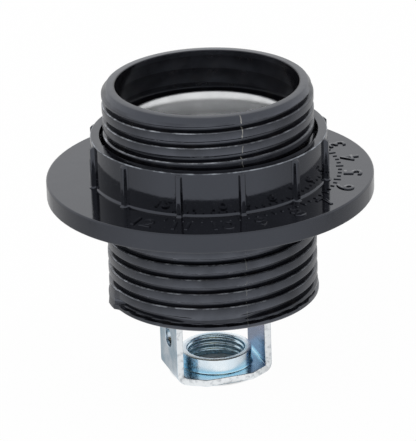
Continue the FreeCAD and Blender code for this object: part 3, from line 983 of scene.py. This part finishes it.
def flare_outline(lip, throat):
    """The flared top as a closed line from the throat out to the lip and back under it."""
    spread = LIP_RADIUS - 0.1 * MM - SLEEVE_BORE
    flare = []
    for step in range(FLARE_STEPS + 1):
        turn = FLARE_END * step / FLARE_STEPS
        flare.append((SLEEVE_BORE + spread * (1 - math.cos(turn)) ** FLARE_POWER,
                      lip - FLARE_DEPTH * (1 - math.sin(turn))))
    under = []
    for near, far in zip(flare, flare[1:]):
        across = math.hypot(far[0] - near[0], far[1] - near[1])
        under.append((near[0] + FLARE_SHEET * (far[1] - near[1]) / across,
                      near[1] - FLARE_SHEET * (far[0] - near[0]) / across))
    edge = [(LIP_RADIUS, lip - 0.10 * MM), (LIP_RADIUS, lip - 0.24 * MM)]
    return [(SLEEVE_BORE, throat)] + flare + edge + under[:2:-1] + [(SLEEVE_BORE + SLEEVE_SHEET, throat)]


def torn_lip(angle, index):
    """The lip's edge is a little ragged, as a trimmed draw is."""
    near = 1 - min(abs(index - FLARE_STEPS - 2), 3) / 3
    waves = math.sin(angle * 41) + math.sin(angle * 67 + 1) + math.sin(angle * 23 + 2)
    return LIP_TEAR * near * waves / 2


def make_sleeve():
    build = bmesh.new()
    low = FLOOR_TOP + 0.02 * MM
    lip = sleeve_high.z
    throat = lip - FLARE_DEPTH - 0.1 * MM
    for name, out in (("sleeve_inside", 0.0), ("sleeve_outside", SLEEVE_SHEET)):
        wound_wall(build, name, WAVE_SECTION, SLEEVE_COLUMNS, 12, FINISHES["sleeve"], pitch=LAMP_PITCH,
                   groove_height=LAMP_GROOVE, low=low, high=throat, low_band=low + 1.0 * MM,
                   high_band=throat - 0.6 * MM, blend=1.4 * MM, low_radius=SLEEVE_BORE + out,
                   high_radius=SLEEVE_BORE + out, root_radius=SLEEVE_ROOT + out, depth=SLEEVE_WAVE,
                   start_angle=0.0)
    angles = even_angles(SLEEVE_COLUMNS)
    turned_wall(build, [(SLEEVE_BORE, low), (SLEEVE_BORE + SLEEVE_SHEET, low)], angles)
    turned_wall(build, flare_outline(lip, throat), angles, torn_lip)
    return finished(build, "lamp_sleeve", FINISHES["sleeve"])


sleeve = make_sleeve()

# %% [markdown]
# The bracket is one strap of sheet steel, folded up at both ends. A strap is easy to describe along
# its length: a middle line in the XZ plane with an arc at each fold, and how wide the strap is there.
# Two skins, half a sheet to each side, and their edges make it solid. Booleans punch its holes, and a
# narrow bevel gives the sheared edges the small bright line that real sheet has.

# %% Bracket strap
SHEET = 1.2 * MM
LEG_OUTSIDE = bracket_high.x + 0.15 * MM
LEG_MIDDLE = LEG_OUTSIDE - SHEET / 2
PLATE_HALF_DEPTH = bracket_high.y
PLATE_FRONT = 4.1 * MM
LEG_HALF = 4.6 * MM
TAB_HALF = 2.5 * MM
TAB_REACH = 4.1 * MM
SHOULDER = 0.5 * MM
BEND_RADIUS = 0.8 * MM
BEND_STEPS = 5
SHEARED_EASE = 0.13 * MM
COLLAR_SEAT = 6.2 * MM
LEG_HOLE_RADIUS = 1.7 * MM
LEG_HOLE_HEIGHT = 7.0 * MM


def strap_half_width(x):
    """Half the plate's depth at this distance from the middle: straight in front, then tapering."""
    share = (abs(x) - PLATE_FRONT) / (LEG_OUTSIDE - PLATE_FRONT)
    return PLATE_HALF_DEPTH - max(share, 0) * (PLATE_HALF_DEPTH - LEG_HALF)


def bend_points(first_angle, centre_height):
    """A quarter of a fold: (step, x, z, angle) along the middle of the sheet."""
    for step in range(BEND_STEPS + 1):
        angle = first_angle + 90 * step / BEND_STEPS
        x = LEG_MIDDLE - BEND_RADIUS + BEND_RADIUS * math.cos(math.radians(angle))
        yield step, x, centre_height + BEND_RADIUS * math.sin(math.radians(angle)), angle


def strap_stations():
    """Half of the strap as (x, z, facing of its skin, half width), from the middle to the tab's end."""
    top = bracket_high.z - SHEET / 2
    stations = [(x, SHEET / 2, -90.0, PLATE_HALF_DEPTH) for x in (0.0, PLATE_FRONT)]
    for step, x, z, angle in bend_points(-90, SHEET / 2 + BEND_RADIUS):
        width = strap_half_width(x + (SHEET / 2) * step / BEND_STEPS)
        stations.append((x, z, angle, max(width, LEG_HALF)))
    stations.append((LEG_MIDDLE, FLOOR_UNDERSIDE, 0.0, LEG_HALF))
    stations.append((LEG_MIDDLE, FLOOR_UNDERSIDE + SHOULDER, 0.0, TAB_HALF))
    for step, x, z, angle in bend_points(0, top - BEND_RADIUS):
        stations.append((x, z, angle, TAB_HALF))
    stations.append((TAB_REACH, top, 90.0, TAB_HALF))
    return stations


def strap_mesh():
    half = strap_stations()
    both = [(-x, z, 180 - facing, width) for x, z, facing, width in reversed(half[1:])] + half
    build = bmesh.new()
    loops = []
    for x, z, facing, width in both:
        away = Vector((math.cos(math.radians(facing)), 0, math.sin(math.radians(facing)))) * SHEET / 2
        spot = Vector((x, 0, z))
        side = Vector((0, width, 0))
        loops.append([build.verts.new(spot + away - side), build.verts.new(spot + away + side),
                      build.verts.new(spot - away + side), build.verts.new(spot - away - side)])
    sheared = build.faces.layers.float.new("sheared")
    for first, second in zip(loops, loops[1:]):
        for corner in range(4):
            beyond = (corner + 1) % 4
            face = build.faces.new([first[corner], first[beyond], second[beyond], second[corner]])
            face[sheared] = corner % 2
    build.faces.new(loops[0])
    build.faces.new(loops[-1])
    bmesh.ops.recalc_face_normals(build, faces=build.faces)
    return mesh_from(build, "strap")


def punched(piece, radius, centre, direction):
    """Cuts a round hole through a piece of sheet."""
    build = bmesh.new()
    turn = Vector((0, 0, 1)).rotation_difference(Vector(direction)).to_matrix().to_4x4()
    bmesh.ops.create_cone(build, cap_ends=True, segments=64, radius1=radius, radius2=radius, depth=4 * SHEET,
                          matrix=Matrix.Translation(Vector(centre)) @ turn)
    punch = new_object("punch", mesh_from(build, "punch"))
    modifier = piece.modifiers.new("punch", "BOOLEAN")
    modifier.operation = "DIFFERENCE"
    modifier.solver = "EXACT"
    modifier.object = punch
    made_plain(piece)
    bpy.data.objects.remove(punch)


def make_strap():
    strap = new_object("bracket_strap", strap_mesh())
    punched(strap, COLLAR_SEAT, (0, 0, SHEET / 2), (0, 0, 1))
    punched(strap, LEG_HOLE_RADIUS, (-LEG_MIDDLE, 0, LEG_HOLE_HEIGHT), (1, 0, 0))
    bevel = strap.modifiers.new("edges", "BEVEL")
    bevel.width = SHEARED_EASE
    bevel.segments = 3
    bevel.limit_method = "ANGLE"
    bevel.angle_limit = math.radians(50)
    made_plain(strap)
    build = bmesh.new()
    build.from_mesh(strap.data)
    bpy.data.objects.remove(strap)
    return finished(build, "bracket_strap", FINISHES["bracket"], math.radians(45))


strap = make_strap()

# %% [markdown]
# The cable entry is plunged: a punch pushes the plate up into a short collar, which is then tapped.
# So the plate curves into the collar below, and above there is a small fillet at its foot and a worn
# rim. The tapped thread is the same winding with a fine pitch.

# %% Cable entry
ENTRY_PITCH = 1.0 * MM
ENTRY_GROOVE = 1.3 * MM
ENTRY_COLUMNS = 96
ENTRY_MAJOR = 5.0 * MM
ENTRY_MINOR = 4.75 * MM
ENTRY_OUTSIDE = 6.1 * MM
ENTRY_LOW = 0.75 * MM
ENTRY_TOP = 3.85 * MM
ENTRY_CHAMFER = 0.18 * MM
HAIR = 0.003 * MM
VEE_SECTION = [(0.0, 1.0), (0.08, 0.9), (0.42, 0.1), (0.5, 0.0), (0.58, 0.1), (0.92, 0.9), (1.0, 1.0)]


def make_entry():
    high = ENTRY_TOP - ENTRY_CHAMFER
    seat = COLLAR_SEAT + 0.3 * MM
    build = bmesh.new()
    wound_wall(build, "entry_wall", VEE_SECTION, ENTRY_COLUMNS, 12, FINISHES["bracket"], pitch=ENTRY_PITCH,
               groove_height=ENTRY_GROOVE, low=ENTRY_LOW, high=high, low_band=ENTRY_LOW + 0.05 * MM,
               high_band=high - 0.05 * MM, blend=0.25 * MM, low_radius=ENTRY_MAJOR,
               high_radius=ENTRY_MAJOR, root_radius=ENTRY_MINOR, depth=ENTRY_MAJOR - ENTRY_MINOR,
               start_angle=0.0)
    outline = eased([
        (ENTRY_MAJOR, high, 0), (ENTRY_MAJOR + 0.12 * MM, ENTRY_TOP, 0.06 * MM),
        (ENTRY_OUTSIDE, ENTRY_TOP, 0.14 * MM), (ENTRY_OUTSIDE, SHEET + HAIR, 0.26 * MM),
        (seat, SHEET + HAIR, 0), (seat, HAIR, 0),
        (ENTRY_MAJOR + 0.05 * MM, HAIR, 0.55 * MM), (ENTRY_MAJOR, ENTRY_LOW, 0)])
    turned_wall(build, outline, even_angles(ENTRY_COLUMNS))
    return finished(build, "cable_entry", FINISHES["bracket"])


entry = make_entry()

# %% [markdown]
# The flange carries raised ticks, like a scale, on an arc. A tick is a small bar with eased edges, and
# Geometry Nodes place its copies, because they are all alike and only their angle differs.

# %% Ticks on the flange
TICK_COUNT = 41
TICK_FIRST = math.radians(232.0)
TICK_SPACING = math.radians(4.0)
TICK_RADIUS = 21.9 * MM
TICK_LENGTH = 0.7 * MM
TICK_WIDTH = 0.28 * MM
TICK_HEIGHT = 0.16 * MM
TICK_EASE = 0.09 * MM
LONG_TICK_EACH = 4.0
LONG_TICK_MORE = 0.8


def tick_graph():
    """Bars along an arc, every one turned to face the axis, a longer one each fourth place."""
    graph = GeometryGraph("ticks_on_an_arc", {
        "Count": "Int", "Radius": "Float", "Height": "Float", "Start": "Float", "Spacing": "Float",
        "Material": "Material", "Bar": "Object"})
    given = graph.given
    line = graph.add("GeometryNodeMeshLine", {"Count": given["Count"]}).outputs[0]
    index = graph.add("GeometryNodeInputIndex").outputs[0]
    angle = graph.total(given["Start"], graph.product(index, given["Spacing"]))
    long_one = graph.math("COMPARE", graph.math("MODULO", index, LONG_TICK_EACH), 0.0)
    length = graph.total(1.0, graph.product(long_one, LONG_TICK_MORE))
    placed = graph.add("GeometryNodeInstanceOnPoints", {
        "Points": graph.moved(line, graph.polar(given["Radius"], angle, given["Height"])),
        "Instance": graph.add("GeometryNodeObjectInfo", {"Object": given["Bar"]}).outputs["Geometry"],
        "Rotation": graph.add("ShaderNodeCombineXYZ", {"Z": angle}).outputs[0],
        "Scale": graph.add("ShaderNodeCombineXYZ", {"X": length, "Y": 1.0, "Z": 1.0}).outputs[0]})
    graph.close(placed.outputs[0])
    return graph


def tick_bar():
    """One small bar, long across the flange, its top edges eased and its foot sunk in the flange."""
    build = bmesh.new()
    bmesh.ops.create_cube(build, size=1.0)
    bmesh.ops.scale(build, vec=(TICK_LENGTH, TICK_WIDTH, 2 * TICK_HEIGHT), verts=build.verts)
    top = [edge for edge in build.edges if all(vert.co.z > 0 for vert in edge.verts)]
    bmesh.ops.bevel(build, geom=top, offset=TICK_EASE, segments=2, affect="EDGES", profile=0.5)
    return new_object("tick_bar", mesh_from(build, "tick_bar"))


def make_ticks():
    bar = tick_bar()
    ticks = tick_graph().grown("flange_ticks", {
        "Count": TICK_COUNT, "Radius": TICK_RADIUS, "Height": FLANGE_TOP, "Start": TICK_FIRST,
        "Spacing": TICK_SPACING, "Material": FINISHES["ring"], "Bar": bar})
    bpy.data.objects.remove(bar)
    print("flange_ticks faces", len(ticks.data.polygons))
    return ticks


ticks = make_ticks()

# %% [markdown]
# Outside the ticks stand plain raised numbers, as on any scale. Blender's own font makes each one as a
# curve with a small bevel. It is turned into a mesh, its head is turned to the axis, and it is moved
# to its place on the flange, where its lower half is sunk.

# %% Numbers on the flange
NUMBER_SIZE = 4.4 * MM
NUMBER_RADIUS = 24.3 * MM
NUMBER_STEP = 16.0
NUMBER_LAST = 224.0
NUMBER_COUNT = 12


def number_mesh(text):
    curve = bpy.data.curves.new("number", "FONT")
    curve.body = text
    curve.size = NUMBER_SIZE
    curve.extrude = 0.14 * MM
    curve.bevel_depth = 0.06 * MM
    curve.bevel_resolution = 1
    curve.resolution_u = 4
    curve.align_x = "CENTER"
    curve.align_y = "CENTER"
    carrier = new_object("number", curve)
    mesh = plain_mesh(carrier)
    bpy.data.objects.remove(carrier)
    return mesh


def make_numbers():
    build = bmesh.new()
    for place in range(NUMBER_COUNT):
        azimuth = math.radians(NUMBER_LAST + NUMBER_STEP * place)
        mesh = number_mesh(str(NUMBER_COUNT - place))
        spot = Vector((NUMBER_RADIUS * math.cos(azimuth), NUMBER_RADIUS * math.sin(azimuth), FLANGE_TOP))
        mesh.transform(Matrix.Translation(spot) @ Matrix.Rotation(azimuth + math.pi / 2, 4, "Z"))
        build.from_mesh(mesh)
    return finished(build, "flange_numbers", FINISHES["ring"])


numbers = make_numbers()

# %% [markdown]
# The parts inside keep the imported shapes, which are right for them, and take their own finishes.
# Every new piece rides on the body that carries it, names its slot, and says which solid it replaces.

# %% Ride, slots and finishes
PIECES = [
    (housing, "holder", "housing_moulding", "shell"),
    (ring_body, "ring", "ring_moulding", "shade_ring"),
    (ring_thread, "ring", "ring_moulding", None),
    (ticks, "ring", "ring_moulding", None),
    (numbers, "ring", "ring_moulding", None),
    (sleeve, "holder", "sleeve_metal", "screw_shell"),
    (strap, "holder", "bracket_zinc", "bracket"),
    (entry, "holder", "bracket_zinc", None),
]
for piece, body, slot, node in PIECES:
    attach(piece, body)
    if node:
        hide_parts(node)

KEPT = {
    "centre_contact": "bronze",
    "centre_rivet": "steel",
    "neutral_rivet": "steel",
    "live_terminal": "brass",
    "neutral_terminal": "brass",
    "live_terminal_screw": "steel",
    "neutral_terminal_screw": "steel",
}
for node, finish in KEPT.items():
    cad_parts[node].data.materials.clear()
    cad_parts[node].data.materials.append(FINISHES[finish])
print("new pieces", len(PIECES), "and kept pieces", len(KEPT))
